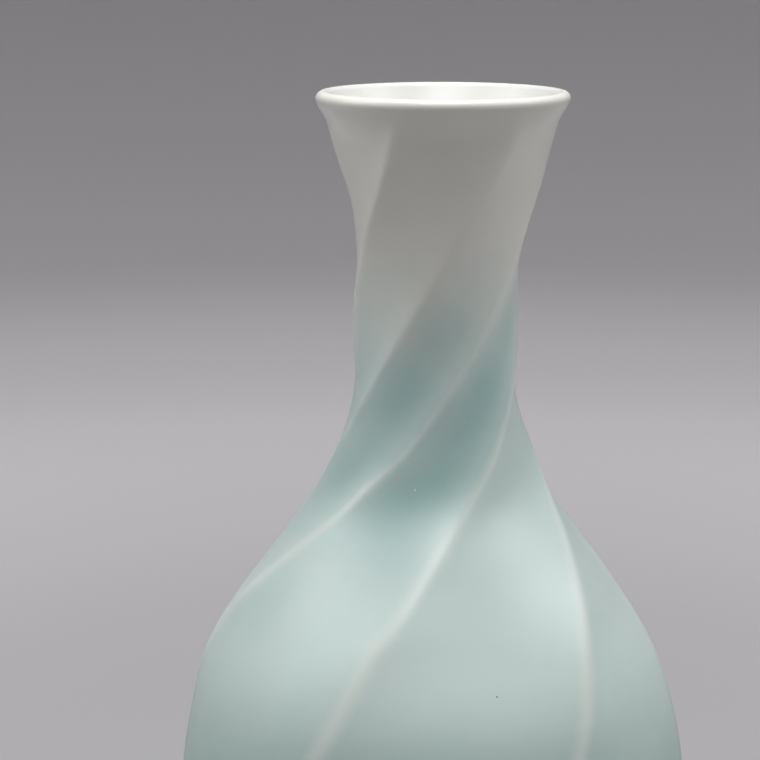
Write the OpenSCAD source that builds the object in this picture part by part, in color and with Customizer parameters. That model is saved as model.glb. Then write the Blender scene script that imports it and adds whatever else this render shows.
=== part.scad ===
// Fluted porcelain sake bottle: a white body on a bare foot ring, under four coats of glaze.
// The origin is the middle of the foot, on the table. +Z is up and -Y is the front.

/* [Foot ring] */
// Height of the foot ring
foot_h = 5; // [3:0.5:8]
// Outer diameter of the foot ring, where it meets the body
foot_d = 57; // [48:1:64]
// Width of the foot ring's wall
foot_wall = 5; // [3:0.5:8]
// How far the ring's outer side leans in towards the table
foot_taper = 0.6; // [0:0.1:1.5]
// Bevel on both lower edges of the ring
foot_bevel = 0.7; // [0.2:0.1:1.2]
// Ledge of the body that stands out over the foot ring
foot_ledge = 1; // [0.5:0.1:3]

/* [Body] */
// Height from the foot ring up to the widest line
base_len = 39; // [30:1:46]
// Diameter of the widest line, over the ridges
belly_d = 97; // [84:0.2:106]
// Fullness of the round base: 2 is an ellipse, more is squarer
base_fullness = 2.6; // [2:0.1:3.2]
// Height from the widest line up to the narrowest line of the neck
shoulder_len = 93; // [80:1:106]
// Diameter of the narrowest line of the neck, over the ridges
neck_d = 30.4; // [27:0.2:36]
// Height from the narrowest line up to the collar under the lip
flare_len = 33; // [26:1:42]
// Diameter of the collar, over the ridges
collar_d = 42.2; // [38:0.2:43]
// Wall with its glaze, from the bottom of a flute to the inside
wall = 2.6; // [2:0.1:3.4]
// Thickness of the floor over the foot ring
floor_t = 4; // [3:0.5:6]

/* [Lip] */
// Height from the collar up to the crest of the lip
rim_len = 6; // [5:0.5:9]
// Outer diameter of the lip
lip_d = 45.2; // [44:0.2:50]
// Thickness of the rolled lip
lip_t = 2.6; // [2:0.1:3.4]
// How far the hand-shaped mouth leans to the right
mouth_lean = 1.1; // [0:0.1:2.5]

/* [Flutes] */
// Number of ridges, with a flute between each two
ridges = 6; // [4:1:9]
// Turn of the ridges between the foot and the widest line, in degrees
base_turn = 18; // [0:1:40]
// Turn of the ridges between the widest line and the neck, in degrees
shoulder_turn = 137; // [90:1:180]
// Turn of the ridges between the neck and the collar, in degrees
flare_turn = 56; // [20:1:90]
// Depth of a flute at the widest line
belly_flute = 0.3; // [0:0.1:1.5]
// Depth of a flute at its deepest, on the shoulder
shoulder_flute = 2.3; // [0.5:0.1:2.6]
// Depth of a flute at the narrowest line of the neck
neck_flute = 1.4; // [0.3:0.1:1.8]
// Depth of a flute under the collar
collar_flute = 2; // [0.5:0.1:2.4]
// Rounding along the top of a ridge
ridge_round = 1.2; // [0.5:0.1:3]

/* [Glaze] */
// Glaze on the ridges, over the lip and inside
thin_glaze = 0.25; // [0.15:0.05:0.4]
// Glaze pooled along the middle of a flute
pooled_glaze = 0.6; // [0.4:0.05:0.9]
// Length of the white coat, from the crest of the lip down to the celadon
white_len = 33; // [20:1:60]
// Bare line left between the base glaze and the foot ring
base_gap = 0.5; // [0.3:0.1:2]

/* [Hidden] */
$fn = 96;
belly_z = foot_h + base_len;
neck_z = belly_z + shoulder_len;
collar_z = neck_z + flare_len;
crest_z = collar_z + rim_len;
white_z = crest_z - white_len;
floor_z = foot_h + floor_t;

// The clay from the belly to the neck. Each row: share of the height, share of the width lost so far,
// share of the turn made so far, depth of the flutes.
shoulder_rows = [
    [0.00, 0.000, 0.00, belly_flute],
    [0.17, 0.064, 0.075, belly_flute],
    [0.30, 0.160, 0.13, shoulder_flute * 0.45],
    [0.43, 0.348, 0.185, shoulder_flute],
    [0.55, 0.616, 0.283, shoulder_flute * 0.65],
    [0.65, 0.822, 0.41, neck_flute * 0.9],
    [0.75, 0.936, 0.59, neck_flute * 0.6],
    [0.87, 0.992, 0.79, neck_flute * 0.9],
    [1.00, 1.000, 1.00, neck_flute]];
// The clay from the neck to the collar, in the same way, with the width gained.
flare_rows = [
    [0.40, 0.195, 0.505, neck_flute * 0.95],
    [0.73, 0.63, 0.845, collar_flute],
    [1.00, 1.00, 1.00, collar_flute]];
// Where hand carving left each ridge, in degrees off its even place, at the neck and at the belly.
neck_wander = [2.5, 3.5, 2.5, -2.5, 5, -19];
belly_wander = [-3, 1, -5, -3, -2, 19];
// Turn of the third ridge at the widest line, from the front towards the right.
first_turn = -98;

// Heights over which the flutes run out under the lip, down from the crest, and above the foot.
runout_top = 2;
runout_end = 8;
runout_foot = 16;
// Height under the crest from which the mouth leans.
lean_len = 26;
// Slope of the lip's underside and of the inside wall where they leave the roll, in degrees.
lip_under = 24;
lip_inside = 30;
// Heights between which the ridges go from their places at the neck to those at the belly.
wander_top = neck_z + 9;
wander_low = belly_z + 22;

// Mesh: columns in a flute, drawn together at the ridges, and rings along the wall.
flute_columns = 8;
gather = 0.09;
base_rings = 8;
shoulder_rings = 24;
white_rings = 7;
rim_rings = 3;
roll_rings = 3;
throat_rings = 3;
inner_rings = 12;
bowl_rings = 6;

function smooth(t) = let (c = min(max(t, 0), 1)) c * c * (3 - 2 * c);

// Stations of the wall above the belly: height, radius over the ridges, turn, flute depth.
stations = concat(
    [for (row = shoulder_rows)
        [belly_z + row[0] * shoulder_len, belly_d / 2 + row[1] * (neck_d - belly_d) / 2,
         first_turn + row[2] * shoulder_turn, row[3]]],
    [for (row = flare_rows)
        [neck_z + row[0] * flare_len, neck_d / 2 + row[1] * (collar_d - neck_d) / 2,
         first_turn + shoulder_turn + row[2] * flare_turn, row[3]]]);
last = len(stations) - 1;
// Slopes with which radius, turn and flute depth leave the belly.
start_slopes = [1, 0, base_turn / base_len, 0];

function chord(column, i) =
    (stations[i + 1][column] - stations[i][column]) / (stations[i + 1][0] - stations[i][0]);
function gap(i) = stations[i + 1][0] - stations[i][0];
function inner_slope(column, i) =
    (gap(i) * chord(column, i - 1) + gap(i - 1) * chord(column, i)) / (gap(i) + gap(i - 1));
function slope(column, i) =
    i == 0 ? start_slopes[column]
    : i == last ? 2 * chord(column, i - 1) - inner_slope(column, i - 1)
    : inner_slope(column, i);

// A smooth curve from value a with slope da to value b with slope db, over the length h.
function curve(a, da, b, db, h, t) =
    (2 * t + 1) * (1 - t) * (1 - t) * a + t * (1 - t) * (1 - t) * h * da
    + t * t * (3 - 2 * t) * b + t * t * (t - 1) * h * db;
function curve_slope(a, da, b, db, h, t) =
    6 * t * (1 - t) * (b - a) / h + (1 - t) * (1 - 3 * t) * da + t * (3 * t - 2) * db;
function station_under(z) = max([0, for (i = [0:last - 1]) if (stations[i][0] <= z) i]);
function along(column, z) =
    let (i = station_under(z), t = (z - stations[i][0]) / gap(i))
    curve(stations[i][column], slope(column, i), stations[i + 1][column], slope(column, i + 1), gap(i), t);
function along_slope(column, z) =
    let (i = station_under(z), t = (z - stations[i][0]) / gap(i))
    curve_slope(stations[i][column], slope(column, i), stations[i + 1][column], slope(column, i + 1), gap(i), t);

// The round base is a superellipse from the belly down to the ledge over the foot ring.
ledge_r = foot_d / 2 + foot_ledge;
base_reach = base_len / pow(1 - pow(ledge_r / (belly_d / 2), base_fullness), 1 / base_fullness);
base_sweep = asin(pow(base_len / base_reach, base_fullness / 2));
function bowl_point(r, reach, a) =
    [r * pow(max(cos(a), 0), 2 / base_fullness), belly_z - reach * pow(sin(a), 2 / base_fullness)];

// The roll of the lip is an arc round this middle, in the plane of the wall.
roll_r = lip_t / 2;
roll_mid = [lip_d / 2 - roll_r, crest_z - roll_r];
function roll_point(r, a) = roll_mid + r * [cos(a), sin(a)];
rim_start = roll_point(roll_r, -lip_under);
function rim_radius(z) =
    let (h = rim_start[1] - collar_z)
    curve(collar_d / 2, slope(1, last), rim_start[0], tan(lip_under), h, (z - collar_z) / h);

// Outline of the fired surface over the ridges, from the ledge up to the crest of the lip.
base_line = [for (i = [base_rings:-1:1]) bowl_point(belly_d / 2, base_reach, base_sweep * i / base_rings)];
shoulder_line = [for (i = [0:shoulder_rings])
    let (z = belly_z + (white_z - belly_z) * i / shoulder_rings) [along(1, z), z]];
white_line = [for (i = [1:white_rings])
    let (z = white_z + (collar_z - white_z) * i / white_rings) [along(1, z), z]];
rim_line = [for (i = [1:rim_rings])
    let (z = collar_z + (rim_start[1] - collar_z) * i / rim_rings) [rim_radius(z), z]];
roll_line = [for (i = [1:roll_rings]) roll_point(roll_r, -lip_under + (90 + lip_under) * i / roll_rings)];
outer_line = concat(base_line, shoulder_line, white_line, rim_line, roll_line);
white_ring = base_rings + shoulder_rings;
crest_ring = len(outer_line) - 1;

// Depth of the flutes and turn of the ridges at any height.
function flute_depth(z) =
    z < belly_z ? belly_flute * smooth((z - foot_h) / runout_foot)
    : along(3, min(z, collar_z)) * smooth((crest_z - runout_top - z) / (runout_end - runout_top));
function turn(z) =
    z < belly_z ? first_turn + (z - belly_z) * base_turn / base_len
    : along(2, min(z, collar_z)) + max(z - collar_z, 0) * slope(2, last);
function lean(z) = mouth_lean * pow(max(z - crest_z + lean_len, 0) / lean_len, 2);

// Inside of the clay: it follows the bottoms of the flutes, one wall in, and the base bowl below.
function inside_radius(z) =
    along(1, z) - flute_depth(z) - wall * sqrt(1 + pow(along_slope(1, z), 2));
roll_end = roll_point(roll_r, 180 - lip_inside);
throat_slope = inside_radius(collar_z) - inside_radius(collar_z - 1);
function throat_radius(z) =
    let (h = roll_end[1] - collar_z)
    curve(inside_radius(collar_z), throat_slope, roll_end[0], tan(lip_inside), h, (z - collar_z) / h);
function inside_point(z) = [z > collar_z ? throat_radius(z) : inside_radius(z), z];
bowl_reach = belly_z - floor_z;
inner_line = concat(
    [for (i = [0:roll_rings - 1]) roll_point(roll_r, 90 + (90 - lip_inside) * i / roll_rings)],
    [for (i = [0:throat_rings]) inside_point(roll_end[1] - (roll_end[1] - collar_z) * i / throat_rings)],
    [for (i = [1:inner_rings]) inside_point(collar_z - (collar_z - belly_z) * i / inner_rings)],
    [for (i = [1:bowl_rings - 1]) bowl_point(inside_radius(belly_z), bowl_reach, 90 * i / bowl_rings)],
    [[0, floor_z]]);
inner_last = len(inner_line) - 2;

// Direction out of the wall at point i of a line that runs with the outside on its right.
function outward(line, i) =
    let (a = line[max(i - 1, 0)], b = line[min(i + 1, len(line) - 1)], d = b - a)
    [d[1], -d[0]] / norm(d);

// Place of ridge k at height z, in degrees from the front towards the right.
function ridge_angle(k, z) =
    let (s = smooth((wander_top - z) / (wander_top - wander_low)), w = k % len(neck_wander))
    turn(z) + (k - 2) * 360 / ridges
    + neck_wander[w] * (1 - s) + belly_wander[w] * s;
// Share of the way across a flute at column j, with the columns drawn together at the ridges.
function across(j) = let (u = j / flute_columns) u - gather * sin(360 * u);
// Fall of a flute below the ridges at a share u of its width, for a flute one unit deep.
function fall(u, width, r) =
    let (half = width / 2,
         top = min(ridge_round / r * 180 / PI, half),
         x = min(sqrt(pow(min(u, 1 - u) * width, 2) + top * top), half))
    (cos(half) / cos(half - top) - cos(half) / cos(half - x)) / (1 - cos(180 / ridges));
// Share of the pooled thickness that the glaze has there: none on the ridge, all in mid-flute.
function pool(u) = smooth(min(u, 1 - u) * 3.2);

// Ring i of the outside: the fired surface, or the clay where it is sunk by the glaze.
// The lowest ring is sunk level, so that the base stays flat.
function outer_ring(i, sunk) =
    let (p = outer_line[i],
         out = i == 0 ? [1, 0] : i == crest_ring ? [0, 1] : outward(outer_line, i),
         z = p[1],
         depth = flute_depth(z))
    [for (k = [0:ridges - 1], j = [0:flute_columns - 1])
        let (u = across(j),
             a = ridge_angle(k, z),
             b = ridge_angle((k + 1) % ridges, z) + (k == ridges - 1 ? 360 : 0),
             angle = a + u * (b - a),
             coat = thin_glaze + (pooled_glaze - thin_glaze) * pool(u) * min(depth, 1),
             r = p[0] - depth * fall(u, b - a, p[0]) - sunk * coat * out[0])
        [lean(z) + r * sin(angle), -r * cos(angle), z - sunk * coat * out[1]]];
// The same for the inside, which is round: its columns stand under those of the crest.
function inner_ring(i, sunk) =
    let (p = inner_line[i], out = i == 0 ? [0, 1] : outward(inner_line, i))
    [for (k = [0:ridges - 1], j = [0:flute_columns - 1])
        let (a = ridge_angle(k, crest_z),
             b = ridge_angle((k + 1) % ridges, crest_z) + (k == ridges - 1 ? 360 : 0),
             angle = a + across(j) * (b - a),
             r = p[0] - sunk * thin_glaze * out[0])
        [lean(p[1]) + r * sin(angle), -r * cos(angle), p[1] - sunk * thin_glaze * out[1]]];

columns = ridges * flute_columns;
// Faces of a tube of rings, with the outside of the tube facing away from the axis as the rings rise.
function tube_faces(rings) =
    [for (i = [0:rings - 2], j = [0:columns - 1], half = [0, 1])
        let (a = i * columns + j, b = i * columns + (j + 1) % columns)
        half == 0 ? [a, b + columns, b] : [a, a + columns, b + columns]];
function fan(first, middle, up) =
    [for (j = [0:columns - 1])
        let (a = first + j, b = first + (j + 1) % columns)
        up ? [a, middle, b] : [a, b, middle]];
function flatten(rings) = [for (r = rings, p = r) p];
function backwards(list) = [for (i = [len(list) - 1:-1:0]) list[i]];

// A coat on the outside, from one ring to another: up over the fired surface and back down the clay.
module outer_coat(first, final) {
    rings = concat(
        [for (i = [first:final]) outer_ring(i, 0)],
        [for (i = [final:-1:first]) outer_ring(i, 1)]);
    lowest = (len(rings) - 1) * columns;
    edge = [for (j = [0:columns - 1], half = [0, 1])
        let (a = lowest + j, b = lowest + (j + 1) % columns, c = (j + 1) % columns)
        half == 0 ? [a, c, b] : [a, j, c]];
    polyhedron(flatten(rings), concat(tube_faces(len(rings)), edge));
}
// A solid of rings that starts and ends on the axis, such as a bottle or its lining.
module hollow(rings, low, high) {
    n = len(rings);
    points = concat(flatten(rings), [[0, 0, low], [0, 0, high]]);
    polyhedron(points, concat(
        tube_faces(n), fan(0, n * columns, false), fan((n - 1) * columns, n * columns + 1, true)));
}

// Thrown and carved clay: base, wall, neck and lip in one, hollow and open at the mouth.
module porcelain_body() {
    outside = [for (i = [0:crest_ring]) outer_ring(i, 1)];
    inside = [for (i = [1:inner_last]) inner_ring(i, 1)];
    color("whitesmoke") hollow(concat(outside, inside), foot_h, floor_z - thin_glaze);
}

// Turned ring of the same clay, joined under the base. It is left bare and ground flat to stand on.
module foot_ring() {
    r = foot_d / 2;
    outline = [
        [r - foot_wall, foot_h], [r - foot_wall, foot_bevel], [r - foot_wall + foot_bevel, 0],
        [r - foot_taper - foot_bevel, 0], [r - foot_taper, foot_bevel], [r, foot_h]];
    color("linen") rotate_extrude() polygon(outline);
}

// Pale blue-green glaze, sprayed over the body up to the middle of the neck.
module celadon_glaze() {
    color("powderblue") outer_coat(0, white_ring);
}

// White glaze over the upper neck, the collar and the outside of the lip.
module white_glaze() {
    color("ivory") outer_coat(white_ring, crest_ring);
}

// White glaze poured round the inside, from the crest of the lip down to the floor.
module inner_glaze() {
    over = [for (i = [0:inner_last]) inner_ring(i, 0)];
    under = [for (i = [0:inner_last]) inner_ring(i, 1)];
    color("floralwhite") hollow(concat(backwards(under), over), floor_z - thin_glaze, floor_z);
}

// Clear glaze brushed on the base inside the foot ring.
module base_glaze() {
    color("lightcyan") translate([0, 0, foot_h - thin_glaze])
        cylinder(h = thin_glaze, r = foot_d / 2 - foot_wall - base_gap);
}

porcelain_body();
foot_ring();
celadon_glaze();
white_glaze();
inner_glaze();
base_glaze();
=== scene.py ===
import math

import bpy
import numpy as np
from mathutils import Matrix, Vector
from mathutils.bvhtree import BVHTree


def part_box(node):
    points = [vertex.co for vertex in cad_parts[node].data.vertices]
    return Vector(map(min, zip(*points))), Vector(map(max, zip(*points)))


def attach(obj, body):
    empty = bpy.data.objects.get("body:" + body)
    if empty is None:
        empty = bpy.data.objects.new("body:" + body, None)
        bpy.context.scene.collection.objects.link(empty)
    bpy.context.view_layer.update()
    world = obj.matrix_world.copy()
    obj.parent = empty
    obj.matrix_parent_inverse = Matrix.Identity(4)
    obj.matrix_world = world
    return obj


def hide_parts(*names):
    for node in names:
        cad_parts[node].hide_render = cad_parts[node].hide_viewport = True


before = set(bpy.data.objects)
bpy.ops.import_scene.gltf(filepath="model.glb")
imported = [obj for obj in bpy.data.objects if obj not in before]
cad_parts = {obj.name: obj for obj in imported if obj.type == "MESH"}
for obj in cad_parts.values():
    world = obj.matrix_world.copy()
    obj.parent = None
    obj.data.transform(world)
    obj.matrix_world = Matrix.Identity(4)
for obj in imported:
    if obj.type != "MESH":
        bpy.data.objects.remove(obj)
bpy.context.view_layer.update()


# ---------------------------------------------------------------- the camera
# A long lens looks down at the mouth from a little above the lip, and the frame cuts the bottle off
# at its belly. The lip's width in the photograph sets the distance, its middle sets the aim.
frame_w, frame_h = 760, 760
long_side = max(frame_w, frame_h)
points = {
    "lip_left": (315.6, 96.3),
    "lip_right": (571.1, 96.3),
    "lip_middle": (443.4, 90.3),
    "lip_top": (447.0, 83.0),
    "notch_left": (358.0, 240.0),
    "notch_right": (514.0, 283.0),
    "neck_left": (350.2, 400.0),
    "neck_right": (518.5, 400.0),
    "shoulder_left": (231.5, 600.0),
    "shoulder_right": (627.0, 600.0),
    "belly_left": (184.2, 757.0),
    "belly_right": (682.9, 757.0),
    "ridge_under_lip": (375.0, 200.0),
    "ridge_on_neck": (421.0, 300.0),
    "ridge_on_shoulder": (416.0, 440.0),
    "ridge_on_belly": (403.0, 608.0),
    "ridge_at_right": (586.5, 665.0),
    "pit_on_shoulder": (415.0, 490.0),
    "pit_on_belly": (497.0, 697.0),
}
lens = 85
sensor = 36
focal = long_side * lens / sensor
camera_rise = math.radians(4.23)
crest_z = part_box("white_glaze")[1].z
lip_d = 0.0452
mouth_lean = 0.0011


def aimed(place, target, point):
    """Pitch and heading of a level camera that shows the target at a point of the photograph."""
    across, up = point[0] - frame_w / 2, frame_h / 2 - point[1]
    away = (target - place).normalized()
    reach = math.sqrt(across * across + up * up + focal * focal)
    pitch = math.atan2(up, focal) - math.asin(away.z * reach / math.hypot(up, focal))
    level = focal * math.cos(pitch) + up * math.sin(pitch)
    heading = math.atan2(-away.x, away.y) - math.atan2(-across, level)
    return pitch, heading


lip_middle = Vector((mouth_lean, 0, crest_z))
across, up = points["lip_middle"][0] - frame_w / 2, frame_h / 2 - points["lip_middle"][1]
distance = lip_d * math.hypot(focal, across, up) / (points["lip_right"][0] - points["lip_left"][0])
camera_data = bpy.data.cameras.new("camera")
camera_data.lens = lens
camera_data.sensor_width = sensor
camera_data.sensor_fit = "AUTO"
camera = bpy.data.objects.new("camera", camera_data)
bpy.context.collection.objects.link(camera)
bpy.context.scene.camera = camera
camera.location = (0, -distance * math.cos(camera_rise), crest_z + distance * math.sin(camera_rise))
pitch, heading = aimed(camera.location, lip_middle, points["lip_middle"])
camera.rotation_euler = (math.pi / 2 - pitch, 0, heading)
bpy.context.view_layer.update()


# ---------------------------------------------------------------- clay body
# Thrown porcelain, carved with six twisting flutes and fired white. The glaze hides it except on the
# ledge over the foot, where the wet glaze was wiped off so that the bottle wouldn't stick in the kiln.
clay_colour = (0.76, 0.73, 0.68, 1)
warm_clay = (0.80, 0.70, 0.58, 1)
speck_colour = (0.30, 0.20, 0.13, 1)
clay_grain = 0.0006
clay_cloud = 0.012
clay_relief = 0.0001
clay_dryness = 0.75
clay_specks = 0.03      # share of the cells that hold a speck
specks_per_metre = 700


def feed(tree, node, feeds):
    """Gives sockets of a node their values, or the outputs of other nodes."""
    for socket, value in feeds:
        if isinstance(value, bpy.types.NodeSocket):
            tree.links.new(value, node.inputs[socket])
        else:
            node.inputs[socket].default_value = value


def put(tree, kind, feeds=(), **settings):
    """One node of a material, with its settings made and its sockets fed."""
    made = tree.nodes.new("ShaderNode" + kind)
    for name, value in settings.items():
        setattr(made, name, value)
    feed(tree, made, feeds)
    return made


def reckon(tree, operation, *terms):
    """Sum, product or other arithmetic of one to three terms."""
    return put(tree, "Math", enumerate(terms), operation=operation).outputs[0]


def step(tree, value, low, high, start=0.0, end=1.0):
    """Goes smoothly from start to end while the value goes from low to high."""
    feeds = [("Value", value), ("From Min", low), ("From Max", high), ("To Min", start), ("To Max", end)]
    return put(tree, "MapRange", feeds, interpolation_type="SMOOTHSTEP").outputs["Result"]


def tint(tree, share, under, over, blend="MIX"):
    """The colour under, with a share of the colour over laid on it."""
    feeds = [(0, share), (6, under), (7, over)]
    return put(tree, "Mix", feeds, data_type="RGBA", blend_type=blend).outputs[2]


def grain(tree, place, size, detail=2.0):
    """Soft random variation about 0.5, with features of that size in metres."""
    feeds = [("Vector", place), ("Scale", 1 / size), ("Detail", detail)]
    return put(tree, "TexNoise", feeds).outputs["Fac"]


def start_group(name, takes, gives):
    """An effect that several finishes share: a node group with named inputs and outputs."""
    tree = bpy.data.node_groups.new(name, "ShaderNodeTree")
    for socket, kind in takes:
        tree.interface.new_socket(socket, in_out="INPUT", socket_type="NodeSocket" + kind)
    for socket, kind in gives:
        tree.interface.new_socket(socket, in_out="OUTPUT", socket_type="NodeSocket" + kind)
    return tree, tree.nodes.new("NodeGroupInput").outputs, tree.nodes.new("NodeGroupOutput").inputs


def place_group(tree, group, feeds):
    """One use of a shared effect in a finish, with that finish's own values."""
    made = tree.nodes.new("ShaderNodeGroup")
    made.node_tree = group
    feed(tree, made, feeds)
    return made.outputs


def start_finish(name, roughness, coat=0.0):
    """A new material: its node tree, its shader and the place on the object."""
    material = bpy.data.materials.new(name)
    material.use_nodes = True
    tree = material.node_tree
    shader = tree.nodes["Principled BSDF"]
    shader.inputs["Roughness"].default_value = roughness
    shader.inputs["Coat Weight"].default_value = coat
    place = put(tree, "TexCoord").outputs["Object"]
    return material, tree, shader, place


def build_fired_clay():
    """Bare porcelain: a fine sandy tooth, faint drift of colour and a few iron specks."""
    takes = [("Place", "Vector"), ("Colour", "Color"), ("Tooth", "Float"), ("Speck share", "Float")]
    tree, given, result = start_group("fired clay", takes, [("Colour", "Color"), ("Height", "Float")])
    fine = reckon(tree, "DIVIDE", 1.0, given["Tooth"])
    tooth = put(tree, "TexNoise", [("Vector", given["Place"]), ("Scale", fine), ("Detail", 3.0)])
    cloud = grain(tree, given["Place"], clay_cloud)
    warm = tint(tree, step(tree, cloud, 0.35, 0.7, 0.0, 0.35), given["Colour"], warm_clay)
    cells = put(tree, "TexVoronoi", [("Vector", given["Place"]), ("Scale", specks_per_metre)])
    chance = put(tree, "SeparateColor", [("Color", cells.outputs["Color"])]).outputs["Red"]
    chosen = reckon(tree, "LESS_THAN", chance, given["Speck share"])
    dot = step(tree, cells.outputs["Distance"], 0.10, 0.24, 1.0, 0.0)
    speck = reckon(tree, "MULTIPLY", chosen, dot)
    specked = tint(tree, speck, warm, speck_colour)
    tree.links.new(specked, result["Colour"])
    tree.links.new(tooth.outputs["Fac"], result["Height"])
    return tree


fired_clay = build_fired_clay()


def bare_clay_finish(name, colour, tooth, speck_share, relief):
    """Unglazed porcelain: dry to the touch, with no gloss."""
    material, tree, shader, place = start_finish(name, clay_dryness)
    feeds = [("Place", place), ("Colour", colour), ("Tooth", tooth), ("Speck share", speck_share)]
    clay = place_group(tree, fired_clay, feeds)
    bump = put(tree, "Bump", [("Height", clay["Height"]), ("Strength", 0.35), ("Distance", relief)])
    tree.links.new(clay["Colour"], shader.inputs["Base Color"])
    tree.links.new(bump.outputs["Normal"], shader.inputs["Normal"])
    return material, tree, shader, place, bump


def wear(piece, material):
    """The material in every slot of a piece."""
    piece.data.materials.clear()
    piece.data.materials.append(material)


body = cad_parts["porcelain_body"]
wear(body, bare_clay_finish("bare_clay", clay_colour, clay_grain, clay_specks, clay_relief)[0])


# ---------------------------------------------------------------- foot ring
# A ring of the same clay, turned on the wheel with a loop tool and left without glaze. Its flat edge
# was rubbed down on a stone after the firing, so that it doesn't scratch the table.
ring_colour = (0.74, 0.70, 0.64, 1)
flash_colour = (0.70, 0.48, 0.30, 1)
flash_h = 0.0022
flash_share = 0.4
ring_grain = 0.0004
ring_relief = 0.00008
ring_specks = 0.05
ring_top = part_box("foot_ring")[1].z
turning_pitch = 0.0007
turning_slope = 0.8
turning_depth = 0.25    # as a share of the clay's own tooth

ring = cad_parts["foot_ring"]


def foot_ring_finish():
    """Bare clay with the loop tool's turning lines, and a warm flash just under the glaze."""
    made = bare_clay_finish("turned_clay", ring_colour, ring_grain, ring_specks, ring_relief)
    material, tree, shader, place, bump = made
    parts = put(tree, "SeparateXYZ", [("Vector", place)]).outputs
    wide = reckon(tree, "POWER", parts["X"], 2.0)
    deep = reckon(tree, "POWER", parts["Y"], 2.0)
    radius = reckon(tree, "SQRT", reckon(tree, "ADD", wide, deep))
    run = reckon(tree, "ADD", radius, reckon(tree, "MULTIPLY", parts["Z"], turning_slope))
    lines = reckon(tree, "SINE", reckon(tree, "MULTIPLY", run, 2 * math.pi / turning_pitch))
    tooth = bump.inputs["Height"].links[0].from_socket
    height = reckon(tree, "MULTIPLY_ADD", lines, turning_depth, tooth)
    tree.links.new(height, bump.inputs["Height"])
    colour = shader.inputs["Base Color"].links[0].from_socket
    flash = step(tree, parts["Z"], ring_top - flash_h, ring_top, 0.0, flash_share)
    tree.links.new(tint(tree, flash, colour, flash_colour), shader.inputs["Base Color"])
    return material


wear(ring, foot_ring_finish())


# ---------------------------------------------------------------- celadon glaze
# A blue-green glaze over the ledge, the belly and the lower neck. In the fire it ran off the ridges,
# where the clay shows through as pale lines, and gathered deep and green along the flutes. Part of
# that deep colour, and the darker tone low on the belly, is painted shade.
foot_h = ring_top
white_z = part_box("white_glaze")[0].z
foot_d = 0.057
foot_ledge = 0.001
base_len = 0.039
belly_d = 0.097
base_fullness = 2.6
shoulder_len = 0.093
neck_d = 0.0304
flare_len = 0.033
collar_d = 0.0422
wall = 0.0026
floor_t = 0.004
lip_t = 0.0026
belly_z = foot_h + base_len
neck_z = belly_z + shoulder_len
collar_z = neck_z + flare_len
floor_z = foot_h + floor_t

# How far the ridges turn along each stretch, in degrees, and how deep the flutes are carved between.
ridges = 6
base_turn = 18
shoulder_turn = 137
flare_turn = 56
first_turn = -98
belly_flute = 0.0003
shoulder_flute = 0.0023
neck_flute = 0.0014
collar_flute = 0.002
ridge_round = 0.0012
thin_glaze = 0.00025
pooled_glaze = 0.0006

# How much glaze gathered in each flute, from ridge 0 on, the flute depths between which it thickens,
# and the share of it that stands right beside a ridge.
# Part of each flute's share is painted shade: flutes turned from the lamps get more of the deep colour,
# flutes turned to them less.
pool_and_shade_share = (0.3, 0.7, 0.85, 0.2, 0.5, 0.5)
pool_from = 0.0001
pool_full = 0.0012
pool_beside = 0.35

# Each row: share of the height, share of the width lost or gained, share of the turn, flute depth.
shoulder_rows = [
    (0.00, 0.000, 0.000, belly_flute),
    (0.17, 0.064, 0.075, belly_flute),
    (0.30, 0.160, 0.130, shoulder_flute * 0.45),
    (0.43, 0.348, 0.185, shoulder_flute),
    (0.55, 0.616, 0.283, shoulder_flute * 0.65),
    (0.65, 0.822, 0.410, neck_flute * 0.9),
    (0.75, 0.936, 0.590, neck_flute * 0.6),
    (0.87, 0.992, 0.790, neck_flute * 0.9),
    (1.00, 1.000, 1.000, neck_flute)]
flare_rows = [
    (0.40, 0.195, 0.505, neck_flute * 0.95),
    (0.73, 0.630, 0.845, collar_flute),
    (1.00, 1.000, 1.000, collar_flute)]
# Where hand carving left each ridge, in degrees off its even place, at the neck and at the belly.
neck_wander = (2.5, 3.5, 2.5, -2.5, 5, -19)
belly_wander = (-3, 1, -5, -3, -2, 19)
wander_top = neck_z + 0.009
wander_low = belly_z + 0.022
# Depths under the crest between which the flutes run out, and heights over the foot by which the
# flutes and their pale lines have come up.
runout_top = 0.002
runout_end = 0.008
runout_foot = 0.016
line_end = 0.026
line_hidden = 0.01     # added to the way from a ridge, to hide its line
draw_in = 0.998        # keeps the coats a hair inside the CAD model's facets
lean_len = 0.026
lip_under = math.radians(24)
lip_inside = math.radians(30)

# Columns in a flute, drawn together at the ridges, and rings along each stretch of the wall.
flute_columns = 32
gather = 0.09
columns = ridges * flute_columns
edge_rings = 3
base_rings = 26
shoulder_rings = 84
white_rings = 30
rim_rings = 9
roll_rings = 12
throat_rings = 8
inner_rings = 30
bowl_rings = 14


def smooth(t):
    """Goes softly from 0 to 1 while t does."""
    t = min(max(t, 0), 1)
    return t * t * (3 - 2 * t)


def curve(a, da, b, db, length, t):
    """A smooth curve from a with slope da to b with slope db."""
    return ((2 * t + 1) * (1 - t) ** 2 * a + t * (1 - t) ** 2 * length * da
            + t * t * (3 - 2 * t) * b + t * t * (t - 1) * length * db)


stations = np.array(
    [(belly_z + h * shoulder_len, belly_d / 2 + w * (neck_d - belly_d) / 2,
      first_turn + s * shoulder_turn, f) for h, w, s, f in shoulder_rows]
    + [(neck_z + h * flare_len, neck_d / 2 + w * (collar_d - neck_d) / 2,
        first_turn + shoulder_turn + s * flare_turn, f) for h, w, s, f in flare_rows])
gaps = np.diff(stations[:, :1], axis=0)
chords = np.diff(stations, axis=0) / gaps
bends = (gaps[1:] * chords[:-1] + gaps[:-1] * chords[1:]) / (gaps[1:] + gaps[:-1])
slopes = np.vstack([(1, 0, base_turn / base_len, 0), bends, 2 * chords[-1] - bends[-1]])


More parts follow.
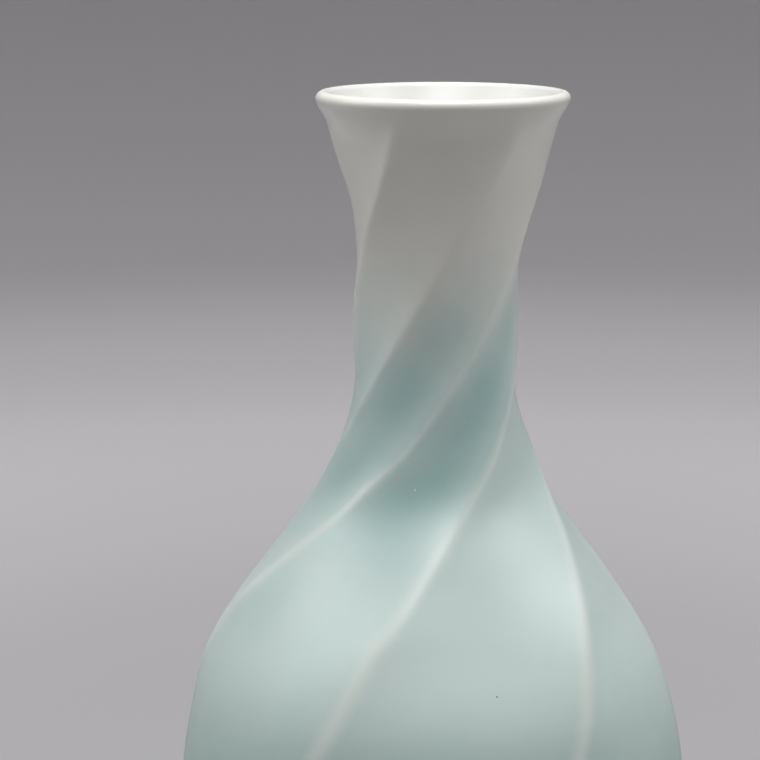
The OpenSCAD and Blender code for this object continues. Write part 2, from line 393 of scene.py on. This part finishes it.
def station(z):
    """Height, radius over the ridges, turn and flute depth of the fired wall above the belly."""
    i = int(np.clip(np.searchsorted(stations[:, 0], z, side="right") - 1, 0, len(gaps) - 1))
    t = (z - stations[i, 0]) / gaps[i, 0]
    return curve(stations[i], slopes[i], stations[i + 1], slopes[i + 1], gaps[i, 0], t)


def wall_radius(z):
    """Radius over the ridges."""
    return station(z)[1]


def turn(z):
    """How far the ridges have turned at a height, in degrees."""
    if z < belly_z:
        return first_turn + (z - belly_z) * base_turn / base_len
    return station(min(z, collar_z))[2] + max(z - collar_z, 0) * slopes[-1, 2]


def flute_depth(z):
    """Depth of the flutes at a height, running out towards the foot and the lip."""
    if z < belly_z:
        return belly_flute * smooth((z - foot_h) / runout_foot)
    return station(min(z, collar_z))[3] * smooth((crest_z - runout_top - z) / (runout_end - runout_top))


def ridge_angle(k, z):
    """Place of ridge k at a height, in degrees from the front towards the right."""
    s = smooth((wander_top - z) / (wander_top - wander_low))
    return turn(z) + (k - 2) * 360 / ridges + neck_wander[k] * (1 - s) + belly_wander[k] * s


nudge = 0.0005      # half the height over which a slope is taken


def bowl_point(r, reach, a):
    """A point of a superellipse below the belly, from its widest line at 0 to its foot at 90 degrees."""
    return (r * max(math.cos(a), 0) ** (2 / base_fullness),
            belly_z - reach * math.sin(a) ** (2 / base_fullness))


def roll_point(a):
    """A point of the rolled lip, at an angle from straight out."""
    return roll_middle[0] + roll_r * math.cos(a), roll_middle[1] + roll_r * math.sin(a)


def inside_radius(z):
    """The inside follows the bottoms of the flutes, one wall in."""
    tilt = (wall_radius(z + nudge) - wall_radius(z - nudge)) / (2 * nudge)
    return wall_radius(z) - flute_depth(z) - wall * math.hypot(1, tilt)


def steps(count, first=0.0, last=1.0):
    """Even shares from first, left out, to last."""
    return [first + (last - first) * i / count for i in range(1, count + 1)]


# Outline of the glazed surface: up the outside from the ledge, over the lip and down the inside.
edge_r = thin_glaze * 0.8
edge_quarters = 0.8     # the edge's rounding, in quarter turns
short_of_end = 0.99     # ends a bowl's curve just short of the edge or of the middle
ledge_r = foot_d / 2 + foot_ledge
base_reach = base_len / (1 - (ledge_r / (belly_d / 2)) ** base_fullness) ** (1 / base_fullness)
base_sweep = math.asin((base_len / base_reach) ** (base_fullness / 2))
roll_r = lip_t / 2
roll_middle = (lip_d / 2 - roll_r, crest_z - roll_r)
rim_start = roll_point(-lip_under)
rim_len = rim_start[1] - collar_z
roll_end = roll_point(math.pi - lip_inside)
throat_len = roll_end[1] - collar_z
throat_tilt = (inside_radius(collar_z) - inside_radius(collar_z - 2 * nudge)) / (2 * nudge)


def rim_point(t):
    """The outside between the collar and the rolled lip."""
    r = curve(collar_d / 2, slopes[-1, 1], rim_start[0], math.tan(lip_under), rim_len, t)
    return r, collar_z + rim_len * t


def throat_point(t):
    """The inside between the collar and the rolled lip."""
    r = curve(inside_radius(collar_z), throat_tilt, roll_end[0], math.tan(lip_inside), throat_len, t)
    return r, collar_z + throat_len * t


def wall_point(z):
    """The outside of the shoulder, the neck and the flare."""
    return wall_radius(z), z


edge_line = [(ledge_r - edge_r * (1 - math.sin(a)), foot_h + edge_r * (1 - math.cos(a)))
             for a in [math.pi / 2 * t for t in [0.0] + steps(edge_rings, 0.0, edge_quarters)]]
base_line = [bowl_point(belly_d / 2, base_reach, base_sweep * t)
             for t in [short_of_end] + steps(base_rings, short_of_end, 0.0)]
shoulder_line = [wall_point(z) for z in steps(shoulder_rings, belly_z, white_z)]
white_line = [wall_point(z) for z in steps(white_rings, white_z, collar_z)]
rim_line = [rim_point(t) for t in steps(rim_rings)]
roll_line = [roll_point(a) for a in steps(roll_rings, -lip_under, math.pi / 2)]
fold_line = [roll_point(a) for a in steps(roll_rings, math.pi / 2, math.pi - lip_inside)]
throat_line = [throat_point(t) for t in steps(throat_rings, 1.0, 0.0)]
inner_line = [(inside_radius(z), z) for z in steps(inner_rings, collar_z, belly_z)]
bowl_line = [bowl_point(inside_radius(belly_z), belly_z - floor_z, math.pi / 2 * t)
             for t in steps(bowl_rings, 0.0, short_of_end)]
outside = edge_line + base_line + shoulder_line + white_line + rim_line + roll_line
inside = fold_line + throat_line + inner_line + bowl_line
outline = np.array(outside + inside)
white_ring = len(edge_line + base_line + shoulder_line) - 1
crest_ring = len(outside) - 1
share = np.arange(flute_columns) / flute_columns
share = share - gather * np.sin(2 * math.pi * share)


def fall(u, width, r):
    """Fall of a flute below its ridges at a share u of its width, for a flute one metre deep."""
    half = width / 2
    top = min(ridge_round / r, half)
    x = np.minimum(np.sqrt((np.minimum(u, 1 - u) * width) ** 2 + top * top), half)
    ridge_reach = math.cos(half) / math.cos(half - top)
    flat_reach = math.cos(half) / np.cos(half - x)
    return (ridge_reach - flat_reach) / (1 - math.cos(math.pi / ridges))


def gathered(sunk, held):
    """Share of pooled glaze, partly painted shade, where a flute that holds so much is sunk so deep."""
    thickened = smooth((sunk - pool_from) / (pool_full - pool_from))
    return held * (pool_beside + (1 - pool_beside) * thickened)


def build_surface():
    """Every point of the glazed surface, ring by ring, with its way from a ridge, its depth and its pool."""
    rings, spacing, hollows, pools = [], [], [], []
    run = np.hypot(*np.gradient(outline, axis=0).T)
    for i, (r, z) in enumerate(outline):
        level = min(z, crest_z) if i <= crest_ring else crest_z
        depth = flute_depth(z) if i <= crest_ring else 0
        lean = mouth_lean * (max(z - crest_z + lean_len, 0) / lean_len) ** 2
        marks = np.radians([ridge_angle(k, level) for k in range(ridges)] + [ridge_angle(0, level) + 360])
        slant = 1.0
        if 0 < i < crest_ring:
            twist = math.radians(turn(outline[i + 1][1]) - turn(outline[i - 1][1])) / 2
            slant = 1 / math.hypot(1, r * twist / run[i])
        ring, off, low, full = [], [], [], []
        for a, b, held in zip(marks[:-1], marks[1:], pool_and_shade_share):
            angle = a + share * (b - a)
            sunk = depth * fall(share, b - a, max(r, 0.001))
            reach = (r - sunk) * draw_in
            ring += [(lean + q * math.sin(t), -q * math.cos(t), z) for q, t in zip(reach, angle)]
            off += list(np.minimum(share, 1 - share) * (b - a) * r * slant)
            low += list(sunk)
            full += [gathered(deep, held) for deep in sunk]
        rings.append(ring)
        faint = 1 - smooth((z - foot_h) / line_end)
        spacing.append(np.array(off) + faint * line_hidden)
        hollows.append(low)
        pools.append(full)
    return np.array(rings), np.array(spacing), np.array(hollows), np.array(pools)


surface, off_ridge, hollow, pooled = build_surface()
across_run = np.roll(surface, -1, axis=1) - np.roll(surface, 1, axis=1)
up_run = np.gradient(surface, axis=0)
facing = np.cross(across_run, up_run)
facing /= np.linalg.norm(facing, axis=2, keepdims=True)
coat_depth = thin_glaze + (pooled_glaze - thin_glaze) * np.clip(hollow / pooled_glaze, 0, 1)


def band(first, second, turned):
    """Faces between two rings of points, given by the number of each ring's first point."""
    made = []
    for j in range(columns):
        a, b = j, (j + 1) % columns
        face = (first + a, first + b, second + b, second + a)
        made.append(face[::-1] if turned else face)
    return made


def fan(first, middle, turned):
    """Faces from a ring of points to one in its middle."""
    made = []
    for j in range(columns):
        face = (first + j, first + (j + 1) % columns, middle)
        made.append(face[::-1] if turned else face)
    return made


def coat(name, first, last, to_middle=False):
    """A closed skin of glaze between two rings: its fired face and, one coat under it, the clay."""
    faced = slice(first, last + 1)
    face = surface[faced]
    under = face - facing[faced] * coat_depth[faced, :, None]
    rows = last - first + 1
    count = rows * columns
    spots = list(face.reshape(-1, 3)) + list(under.reshape(-1, 3))
    made = []
    for i in range(rows - 1):
        made += band(i * columns, (i + 1) * columns, False)
        made += band(count + i * columns, count + (i + 1) * columns, True)
    made += band(0, count, True)
    if to_middle:
        low = face[-1, :, 2].mean()
        spots += [(0, 0, low), (0, 0, low - thin_glaze)]
        made += fan(count - columns, 2 * count, False)
        made += fan(2 * count - columns, 2 * count + 1, True)
    else:
        made += band(count - columns, 2 * count - columns, False)
    mesh = bpy.data.meshes.new(name)
    mesh.from_pydata([tuple(map(float, p)) for p in spots], [], made)
    mesh.shade_smooth()
    for label, values in (("off_ridge", off_ridge[faced]), ("pooled", pooled[faced])):
        filled = np.zeros(len(spots), np.float32)
        filled[:count] = values.ravel()
        filled[count:2 * count] = values.ravel()
        mesh.attributes.new(label, "FLOAT", "POINT").data.foreach_set("value", filled)
    lit = np.zeros((len(spots), 3))
    lit[:count] = facing[faced].reshape(-1, 3)
    if to_middle:
        lit[2 * count] = (0, 0, 1)
    mesh.normals_split_custom_set_from_vertices([tuple(n) for n in lit])
    piece = bpy.data.objects.new(name, mesh)
    bpy.context.collection.objects.link(piece)
    return piece


def tree_of(piece):
    """The faces of a piece, as finished and placed, for rays to meet."""
    return BVHTree.FromObject(piece, bpy.context.evaluated_depsgraph_get())


def on_surface(point, tree):
    """Where the ray through a point of the photograph meets a surface, or its place nearest the ray."""
    across = point[0] - frame_w / 2 + camera_data.shift_x * long_side
    up = frame_h / 2 - point[1] + camera_data.shift_y * long_side
    ray = camera.matrix_world.to_3x3() @ Vector((across, up, -long_side * lens / sensor)).normalized()
    hit = tree.ray_cast(camera.location, ray)[0]
    if hit is None:
        tries = [camera.location + ray * distance * t for t in steps(40, 0.7, 1.3)]
        hit = min((tree.find_nearest(p) for p in tries), key=lambda found: found[3])[0]
    return hit


swell_size = 0.007
peel_size = 0.0011
drift_size = 0.016
bubble_size = 0.00035
drift_deep = (0.30, 0.50, 0.48, 1)
drift_pale = (0.9, 0.9, 0.86, 1)
haze_colour = (0.86, 0.9, 0.88, 1)


def build_ripple():
    """The skin of a fired glaze: a long soft swell with a fine orange peel on it."""
    takes = [("Place", "Vector"), ("Swell", "Float"), ("Peel", "Float")]
    tree, given, result = start_group("glaze ripple", takes, [("Height", "Float")])
    swell = grain(tree, given["Place"], swell_size, 1.0)
    peel = grain(tree, given["Place"], peel_size, 1.0)
    long_part = reckon(tree, "MULTIPLY", swell, given["Swell"])
    tree.links.new(reckon(tree, "MULTIPLY_ADD", peel, given["Peel"], long_part), result["Height"])
    return tree


def build_drift():
    """Slow change of a glaze's depth of colour from place to place, with a haze of tiny bubbles."""
    takes = [("Place", "Vector"), ("Colour", "Color"), ("Amount", "Float"), ("Haze", "Float")]
    tree, given, result = start_group("glaze drift", takes, [("Colour", "Color")])
    slow = step(tree, grain(tree, given["Place"], drift_size), 0.3, 0.7, -0.5, 0.5)
    change = reckon(tree, "MULTIPLY", slow, given["Amount"])
    deeper = tint(tree, reckon(tree, "MAXIMUM", change, 0.0), given["Colour"], drift_deep)
    lack = reckon(tree, "MULTIPLY", change, -1.0)
    paler = tint(tree, reckon(tree, "MAXIMUM", lack, 0.0), deeper, drift_pale)
    bubbles = step(tree, grain(tree, given["Place"], bubble_size, 1.0), 0.52, 0.75)
    hazed = tint(tree, reckon(tree, "MULTIPLY", bubbles, given["Haze"]), paler, haze_colour)
    tree.links.new(hazed, result["Colour"])
    return tree


ridge_colour = (0.79, 0.84, 0.79, 1)
# The low colour is painted shade: the lower belly gets less light from the lamps overhead and is painted
# darker.
shaded_low_colour = (0.40, 0.56, 0.52, 1)
celadon_colour = (0.63, 0.75, 0.725, 1)
pooled_colour = (0.31, 0.53, 0.51, 1)
# The darkest pool colour is painted shade, laid over the pools in a band of the flutes on the shoulder.
deepest_shade_colour = (0.19, 0.415, 0.395, 1)
white_colour = (0.785, 0.775, 0.72, 1)
glaze_gloss = 0.26
skin_strength = 0.12
skin_relief = 0.00012

# Half width and strength of the pale lines on the ridges, on the belly and on the neck.
belly_line = 0.0028
neck_line = 0.0012
belly_line_share = 0.62
neck_line_share = 0.42
line_waver = 0.0003
line_waver_size = 0.006

# Heights between which the glaze changes: from the painted shade low on the belly to the plain tone,
# from the wide pale lines to the thin ones, into the pools, into and out of a band of painted shade
# in them, and up to the white.
shaded_low_end = (0.050, 0.080)
line_change = (0.085, 0.120)
pool_start = (0.092, 0.112)
deepest_shade_start = (0.099, 0.110)
deepest_shade_end = (0.118, 0.132)
fade_low = 0.119
fade_high = 0.152
belly_pool_share = 0.15     # what there is of a pool below them
fade_waver = 0.003
fade_waver_size = 0.01
fade_climb = 0.006          # how much higher the celadon runs up in a full flute


def build_carved_colour():
    """Glaze over carved clay: pale where it ran thin along a ridge, deep where it pooled in a flute,
    with painted shade low on the belly, in part of the pools and in a band of flutes on the shoulder,
    and fading from the celadon below to the white above."""
    takes = [("Place", "Vector"), ("Off ridge", "Float"), ("Pool and shade", "Float"), ("Thin", "Color"),
             ("Shaded low", "Color"), ("Body", "Color"), ("Pooled", "Color"), ("Deepest shade", "Color"),
             ("White", "Color"), ("Belly line", "Float"), ("Neck line", "Float"),
             ("Fade low", "Float"), ("Fade high", "Float")]
    tree, given, result = start_group("carved glaze colour", takes, [("Colour", "Color")])
    height = put(tree, "SeparateXYZ", [("Vector", given["Place"])]).outputs["Z"]
    waver = grain(tree, given["Place"], line_waver_size)
    wavy = step(tree, waver, 0.2, 0.8, -line_waver, line_waver)
    off = reckon(tree, "ADD", given["Off ridge"], wavy)
    line = step(tree, height, *line_change, given["Belly line"], given["Neck line"])
    strength = step(tree, height, *line_change, belly_line_share, neck_line_share)
    ridge = reckon(tree, "MULTIPLY", step(tree, off, 0.0, line, 1.0, 0.0), strength)
    # The pool share is partly pooled glaze and partly painted shade.
    pool = reckon(tree, "MULTIPLY", given["Pool and shade"], step(tree, height, *pool_start, belly_pool_share, 1.0))
    drifting = grain(tree, given["Place"], fade_waver_size)
    ragged = step(tree, drifting, 0.2, 0.8, -fade_waver, fade_waver)
    climb = reckon(tree, "MULTIPLY", given["Pool and shade"], -fade_climb)
    level = reckon(tree, "ADD", reckon(tree, "ADD", height, ragged), climb)
    fade = step(tree, level, given["Fade low"], given["Fade high"])
    # Painted shade: the low colour darkens the lower belly.
    plain = tint(tree, step(tree, height, *shaded_low_end), given["Shaded low"], given["Body"])
    # Painted shade: a band of the flutes on the shoulder is painted darker than the pools.
    entering = step(tree, height, *deepest_shade_start)
    leaving = step(tree, height, *deepest_shade_end, 1.0, 0.0)
    deepest_shade = reckon(tree, "MULTIPLY", entering, leaving)
    flute = tint(tree, pool, plain, tint(tree, deepest_shade, given["Pooled"], given["Deepest shade"]))
    carved = tint(tree, ridge, flute, given["Thin"])
    tree.links.new(tint(tree, fade, carved, given["White"]), result["Colour"])
    return tree


def build_pit():
    """A pinhole where a bubble burst in the fire and the glaze didn't close over it."""
    takes = [("Place", "Vector"), ("Middle", "Vector"), ("Size", "Float")]
    tree, given, result = start_group("glaze pit", takes, [("Mask", "Float")])
    feeds = [(0, given["Place"]), (1, given["Middle"])]
    away = put(tree, "VectorMath", feeds, operation="DISTANCE").outputs["Value"]
    edge = reckon(tree, "MULTIPLY", given["Size"], 0.4)
    tree.links.new(reckon(tree, "SUBTRACT", 1.0, step(tree, away, edge, given["Size"])), result["Mask"])
    return tree


ripple = build_ripple()
drift = build_drift()
carved_colour = build_carved_colour()
pit = build_pit()


def lay_skin(tree, shader, colour, height, strength, relief):
    """Gives a glaze its colour and the faint relief of its skin."""
    tree.links.new(colour, shader.inputs["Base Color"])
    bump = put(tree, "Bump", [("Height", height), ("Strength", strength), ("Distance", relief)])
    tree.links.new(bump.outputs["Normal"], shader.inputs["Normal"])


def glaze_finish(name, pits=()):
    """Glossy glaze over the carved outside, with the same colours above and below the white line."""
    material, tree, shader, place = start_finish(name, glaze_gloss)
    off = put(tree, "Attribute", attribute_name="off_ridge").outputs["Fac"]
    pool = put(tree, "Attribute", attribute_name="pooled").outputs["Fac"]
    feeds = [("Place", place), ("Off ridge", off), ("Pool and shade", pool), ("Thin", ridge_colour),
             ("Shaded low", shaded_low_colour), ("Body", celadon_colour), ("Pooled", pooled_colour),
             ("Deepest shade", deepest_shade_colour), ("White", white_colour), ("Belly line", belly_line),
             ("Neck line", neck_line), ("Fade low", fade_low), ("Fade high", fade_high)]
    carved = place_group(tree, carved_colour, feeds)["Colour"]
    feeds = [("Place", place), ("Colour", carved), ("Amount", 0.12), ("Haze", 0.06)]
    colour = place_group(tree, drift, feeds)["Colour"]
    height = place_group(tree, ripple, [("Place", place), ("Swell", 1.0), ("Peel", 0.12)])["Height"]
    for middle, size, inner in pits:
        mask = place_group(tree, pit, [("Place", place), ("Middle", middle), ("Size", size)])["Mask"]
        colour = tint(tree, mask, colour, inner)
        height = reckon(tree, "SUBTRACT", height, mask)
    lay_skin(tree, shader, colour, height, skin_strength, skin_relief)
    return material


celadon = coat("celadon_coat", 0, white_ring)
celadon_tree = tree_of(celadon)
pits = [
    (on_surface(points["pit_on_shoulder"], celadon_tree), 0.00022, (0.75, 0.82, 0.80, 1)),
    # The dark colour of the pit on the belly is painted shade in the pinhole's hollow.
    (on_surface(points["pit_on_belly"], celadon_tree), 0.0002, (0.10, 0.13, 0.13, 1)),
]
wear(celadon, glaze_finish("celadon_glaze", pits))
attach(celadon, "root")
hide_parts("celadon_glaze")


# ---------------------------------------------------------------- white glaze
# A white glaze was brushed over the upper neck and the rolled lip while the celadon was wet, so that
# the two melted into each other and no line shows where one coat ends.
white = coat("white_coat", white_ring, crest_ring)
wear(white, glaze_finish("white_glaze"))
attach(white, "root")
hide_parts("white_glaze")


# ---------------------------------------------------------------- inner glaze
# White glaze poured in, swirled round and poured out again, so that it lines the bottle from the
# crest of the lip down to the floor. It is a thin even coat, with nothing carved under it.
lining_colour = (0.71, 0.71, 0.685, 1)


def lining_finish():
    """Plain glossy white, with a faint swell from the swirling."""
    material, tree, shader, place = start_finish("inner_glaze", glaze_gloss)
    feeds = [("Place", place), ("Colour", lining_colour), ("Amount", 0.06), ("Haze", 0.03)]
    colour = place_group(tree, drift, feeds)["Colour"]
    height = place_group(tree, ripple, [("Place", place), ("Swell", 1.0), ("Peel", 0.1)])["Height"]
    lay_skin(tree, shader, colour, height, skin_strength, skin_relief)
    return material


lining = coat("inner_coat", crest_ring, len(outline) - 1, to_middle=True)
wear(lining, lining_finish())
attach(lining, "root")
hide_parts("inner_glaze")


# ---------------------------------------------------------------- base glaze
# A thin coat brushed on the base inside the foot ring. Its edge was wiped back with a sponge, which
# left it rounded and a little uneven.
base_low, base_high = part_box("base_glaze")
base_r = base_high.x
base_rows = 7
base_rim = 0.4          # share of the radius that rounds off
base_waver = 0.012
base_colour = (0.68, 0.75, 0.71, 1)
base_gloss = 0.14
base_skin_strength = 0.2
base_skin_relief = 0.0002


def build_base_coat():
    """A low disc with a wavering, rounded rim."""
    mesh = bpy.data.meshes.new("base_coat")
    spots, made = [], []
    thick = base_high.z - base_low.z
    for i in range(base_rows + 1):
        bend = math.pi / 2 * (i / base_rows)
        z = base_low.z + thick * (1 - math.cos(bend))
        for j in range(columns):
            a = 2 * math.pi * j / columns
            waver = 1 - base_waver * (1.5 + math.sin(3 * a + 1) + 0.5 * math.sin(7 * a))
            r = base_r * waver * (1 - base_rim + base_rim * math.sin(bend))
            spots.append((r * math.sin(a), -r * math.cos(a), z))
        if i:
            made += band((i - 1) * columns, i * columns, False)
    count = len(spots)
    spots += [(0, 0, base_low.z), (0, 0, base_high.z)]
    made += fan(0, count, True)
    made += fan(count - columns, count + 1, False)
    mesh.from_pydata(spots, [], made)
    mesh.shade_smooth()
    piece = bpy.data.objects.new("base_coat", mesh)
    bpy.context.collection.objects.link(piece)
    return piece


def base_finish():
    """Thin glaze, a little green where it is thick."""
    material, tree, shader, place = start_finish("base_glaze", base_gloss)
    feeds = [("Place", place), ("Colour", base_colour), ("Amount", 0.3), ("Haze", 0.06)]
    colour = place_group(tree, drift, feeds)["Colour"]
    height = place_group(tree, ripple, [("Place", place), ("Swell", 1.0), ("Peel", 0.3)])["Height"]
    lay_skin(tree, shader, colour, height, base_skin_strength, base_skin_relief)
    return material


base = build_base_coat()
wear(base, base_finish())
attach(base, "root")
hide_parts("base_glaze")


# ---------------------------------------------------------------- table and light
# The bottle stands on a round grey sheet that sweeps up on every side, dark at the front so that it
# throws little light back. It stands in a light tent: lamps shine through the cloth overhead and at
# the sides, so every light fades softly at its edges.
near_colour = (0.415, 0.405, 0.415, 1)
far_colour = (0.81, 0.79, 0.81, 1)
wall_colour = (0.645, 0.625, 0.645, 1)
front_colour = (0.13, 0.127, 0.132, 1)
near_r = 0.13
table_r = 0.5
sweep_r = 0.7
sweep_rings = 24
wall_top = 1.5
table_columns = 96
front_y = -0.8
back_y = 0.5
rise_z = 0.03


def build_table():
    """A round sheet that sweeps up on every side into an upright backdrop."""
    profile = [(table_r, 0.0)]
    profile += [(table_r + sweep_r * math.sin(a), sweep_r * (1 - math.cos(a)))
                for a in steps(sweep_rings, 0, math.pi / 2)]
    profile += [(table_r + sweep_r, wall_top)]
    turns = [2 * math.pi * j / table_columns for j in range(table_columns)]
    spots = [(r * math.sin(a), -r * math.cos(a), z) for r, z in profile for a in turns] + [(0, 0, 0)]
    made = [(len(spots) - 1, j, (j + 1) % table_columns) for j in range(table_columns)]
    for i in range(len(profile) - 1):
        for j in range(table_columns):
            a, b = i * table_columns + j, i * table_columns + (j + 1) % table_columns
            made.append((a, a + table_columns, b + table_columns, b))
    mesh = bpy.data.meshes.new("table")
    mesh.from_pydata(spots, [], made)
    mesh.shade_smooth()
    piece = bpy.data.objects.new("table", mesh)
    bpy.context.collection.objects.link(piece)
    return piece


def table_finish():
    """Matt grey, paler away from the bottle, where less light falls, and darker round to the front."""
    material, tree, shader, place = start_finish("table_paint", 0.9)
    parts = put(tree, "SeparateXYZ", [("Vector", place)]).outputs
    flat = put(tree, "CombineXYZ", [("X", parts["X"]), ("Y", parts["Y"])]).outputs["Vector"]
    away = put(tree, "VectorMath", [(0, flat)], operation="LENGTH").outputs["Value"]
    level = tint(tree, step(tree, away, near_r, table_r), near_colour, far_colour)
    upright = tint(tree, step(tree, parts["Y"], front_y, back_y), front_colour, wall_colour)
    rise = step(tree, parts["Z"], 0.0, rise_z)
    tree.links.new(tint(tree, rise, level, upright), shader.inputs["Base Color"])
    return material


table = build_table()
wear(table, table_finish())


lit_z = 0.1             # the height that the lamps face
lamp_core = 0.08        # how far out from its middle a lamp is evenly lit, as a share of its width
room_level = 0.02


def tent_light(name, azimuth, rise, away, size, power):
    """A patch of lit cloth that faces the bottle from a direction: azimuth 0 is the front, 90 the right."""
    a, e = math.radians(azimuth), math.radians(rise)
    toward = Vector((math.sin(a) * math.cos(e), -math.cos(a) * math.cos(e), math.sin(e)))
    data = bpy.data.lights.new(name, "AREA")
    data.shape = "SQUARE"
    data.size = size
    data.energy = power
    data.use_nodes = True
    tree = data.node_tree
    across_lamp = put(tree, "NewGeometry").outputs["Parametric"]
    feeds = [(0, across_lamp), (1, (0.5, 0.5, 0.0))]
    off_middle = put(tree, "VectorMath", feeds, operation="DISTANCE").outputs["Value"]
    fading = step(tree, off_middle, lamp_core, 0.5, 1.0, 0.0)
    tree.links.new(fading, tree.nodes["Emission"].inputs["Strength"])
    lamp = bpy.data.objects.new(name, data)
    lamp.location = Vector((0, 0, lit_z)) + toward * away
    lamp.rotation_euler = (-toward).to_track_quat("-Z", "Y").to_euler()
    bpy.context.collection.objects.link(lamp)


# Each lamp: azimuth and rise in degrees, distance and width in metres, power in watts.
tent_light("tent_top", 0, 90, 0.45, 0.5, 6.2)
tent_light("tent_top_front", 0, 65, 0.8, 0.7, 5.8)
tent_light("tent_left", -90, 38, 0.8, 0.8, 5.6)
tent_light("tent_right", 86, 45, 0.8, 0.8, 5.3)
tent_light("tent_right_back", 115, 30, 0.8, 0.8, 1.0)

world = bpy.data.worlds.new("room")
bpy.context.scene.world = world
world.use_nodes = True
world.node_tree.nodes["Background"].inputs["Color"].default_value = (1, 1, 1, 1)
world.node_tree.nodes["Background"].inputs["Strength"].default_value = room_level
bpy.context.scene.view_settings.view_transform = "Standard"


# ---------------------------------------------------------------- where the named points show
# Where each named point shows in the photograph's frame.
def project(spots):
    """Where places in the row frame show in the photograph's frame."""
    seen = np.array(camera.matrix_world.inverted())
    local = np.asarray(spots, float) @ seen[:3, :3].T + seen[:3, 3]
    scale = long_side * lens / sensor / -local[..., 2]
    x = frame_w / 2 + local[..., 0] * scale - camera_data.shift_x * long_side
    y = frame_h / 2 - local[..., 1] * scale + camera_data.shift_y * long_side
    return np.stack([x, y], axis=-1)


def finished(piece, rows):
    """The fired face of a coat after all modifiers, ring by ring, in the photograph's frame."""
    shown = piece.evaluated_get(bpy.context.evaluated_depsgraph_get())
    spots = np.array([shown.matrix_world @ v.co for v in shown.data.vertices])
    return project(spots[:rows * columns].reshape(rows, columns, 3))


def edge_at(shape, y, side):
    """The silhouette's x at a height of the photograph, on the left (-1) or the right (1)."""
    rising = np.swapaxes(shape[::-1], 0, 1)
    return float(max((np.interp(y, line[:, 1], line[:, 0]) for line in rising), key=lambda x: side * x))


def ridge_at(shape, k, y):
    """The x of ridge k at a height of the photograph."""
    line = shape[:, k * flute_columns]
    order = np.argsort(line[:, 1])
    return float(np.interp(y, line[order, 1], line[order, 0]))


celadon_shape = finished(celadon, white_ring + 1)
white_shape = finished(white, crest_ring - white_ring + 1)
glaze_shape = np.concatenate([celadon_shape, white_shape[1:]])
lip = white_shape[-roll_rings:].reshape(-1, 2)
shows = {
    "lip_left": tuple(lip[lip[:, 0].argmin()]),
    "lip_right": tuple(lip[lip[:, 0].argmax()]),
    "lip_middle": tuple(project([lip_middle])[0]),
    "lip_top": (points["lip_top"][0], lip[:, 1].min()),
}
for name, side in (("notch_left", -1), ("notch_right", 1), ("neck_left", -1), ("neck_right", 1),
                   ("shoulder_left", -1), ("shoulder_right", 1), ("belly_left", -1), ("belly_right", 1)):
    shows[name] = (edge_at(glaze_shape, points[name][1], side), points[name][1])
for name, k in (("ridge_under_lip", 0), ("ridge_on_neck", 1), ("ridge_on_shoulder", 2),
                ("ridge_on_belly", 3), ("ridge_at_right", 4)):
    shows[name] = (ridge_at(glaze_shape, k, points[name][1]), points[name][1])
for name, made in (("pit_on_shoulder", pits[0]), ("pit_on_belly", pits[1])):
    shows[name] = tuple(project([made[0]])[0])
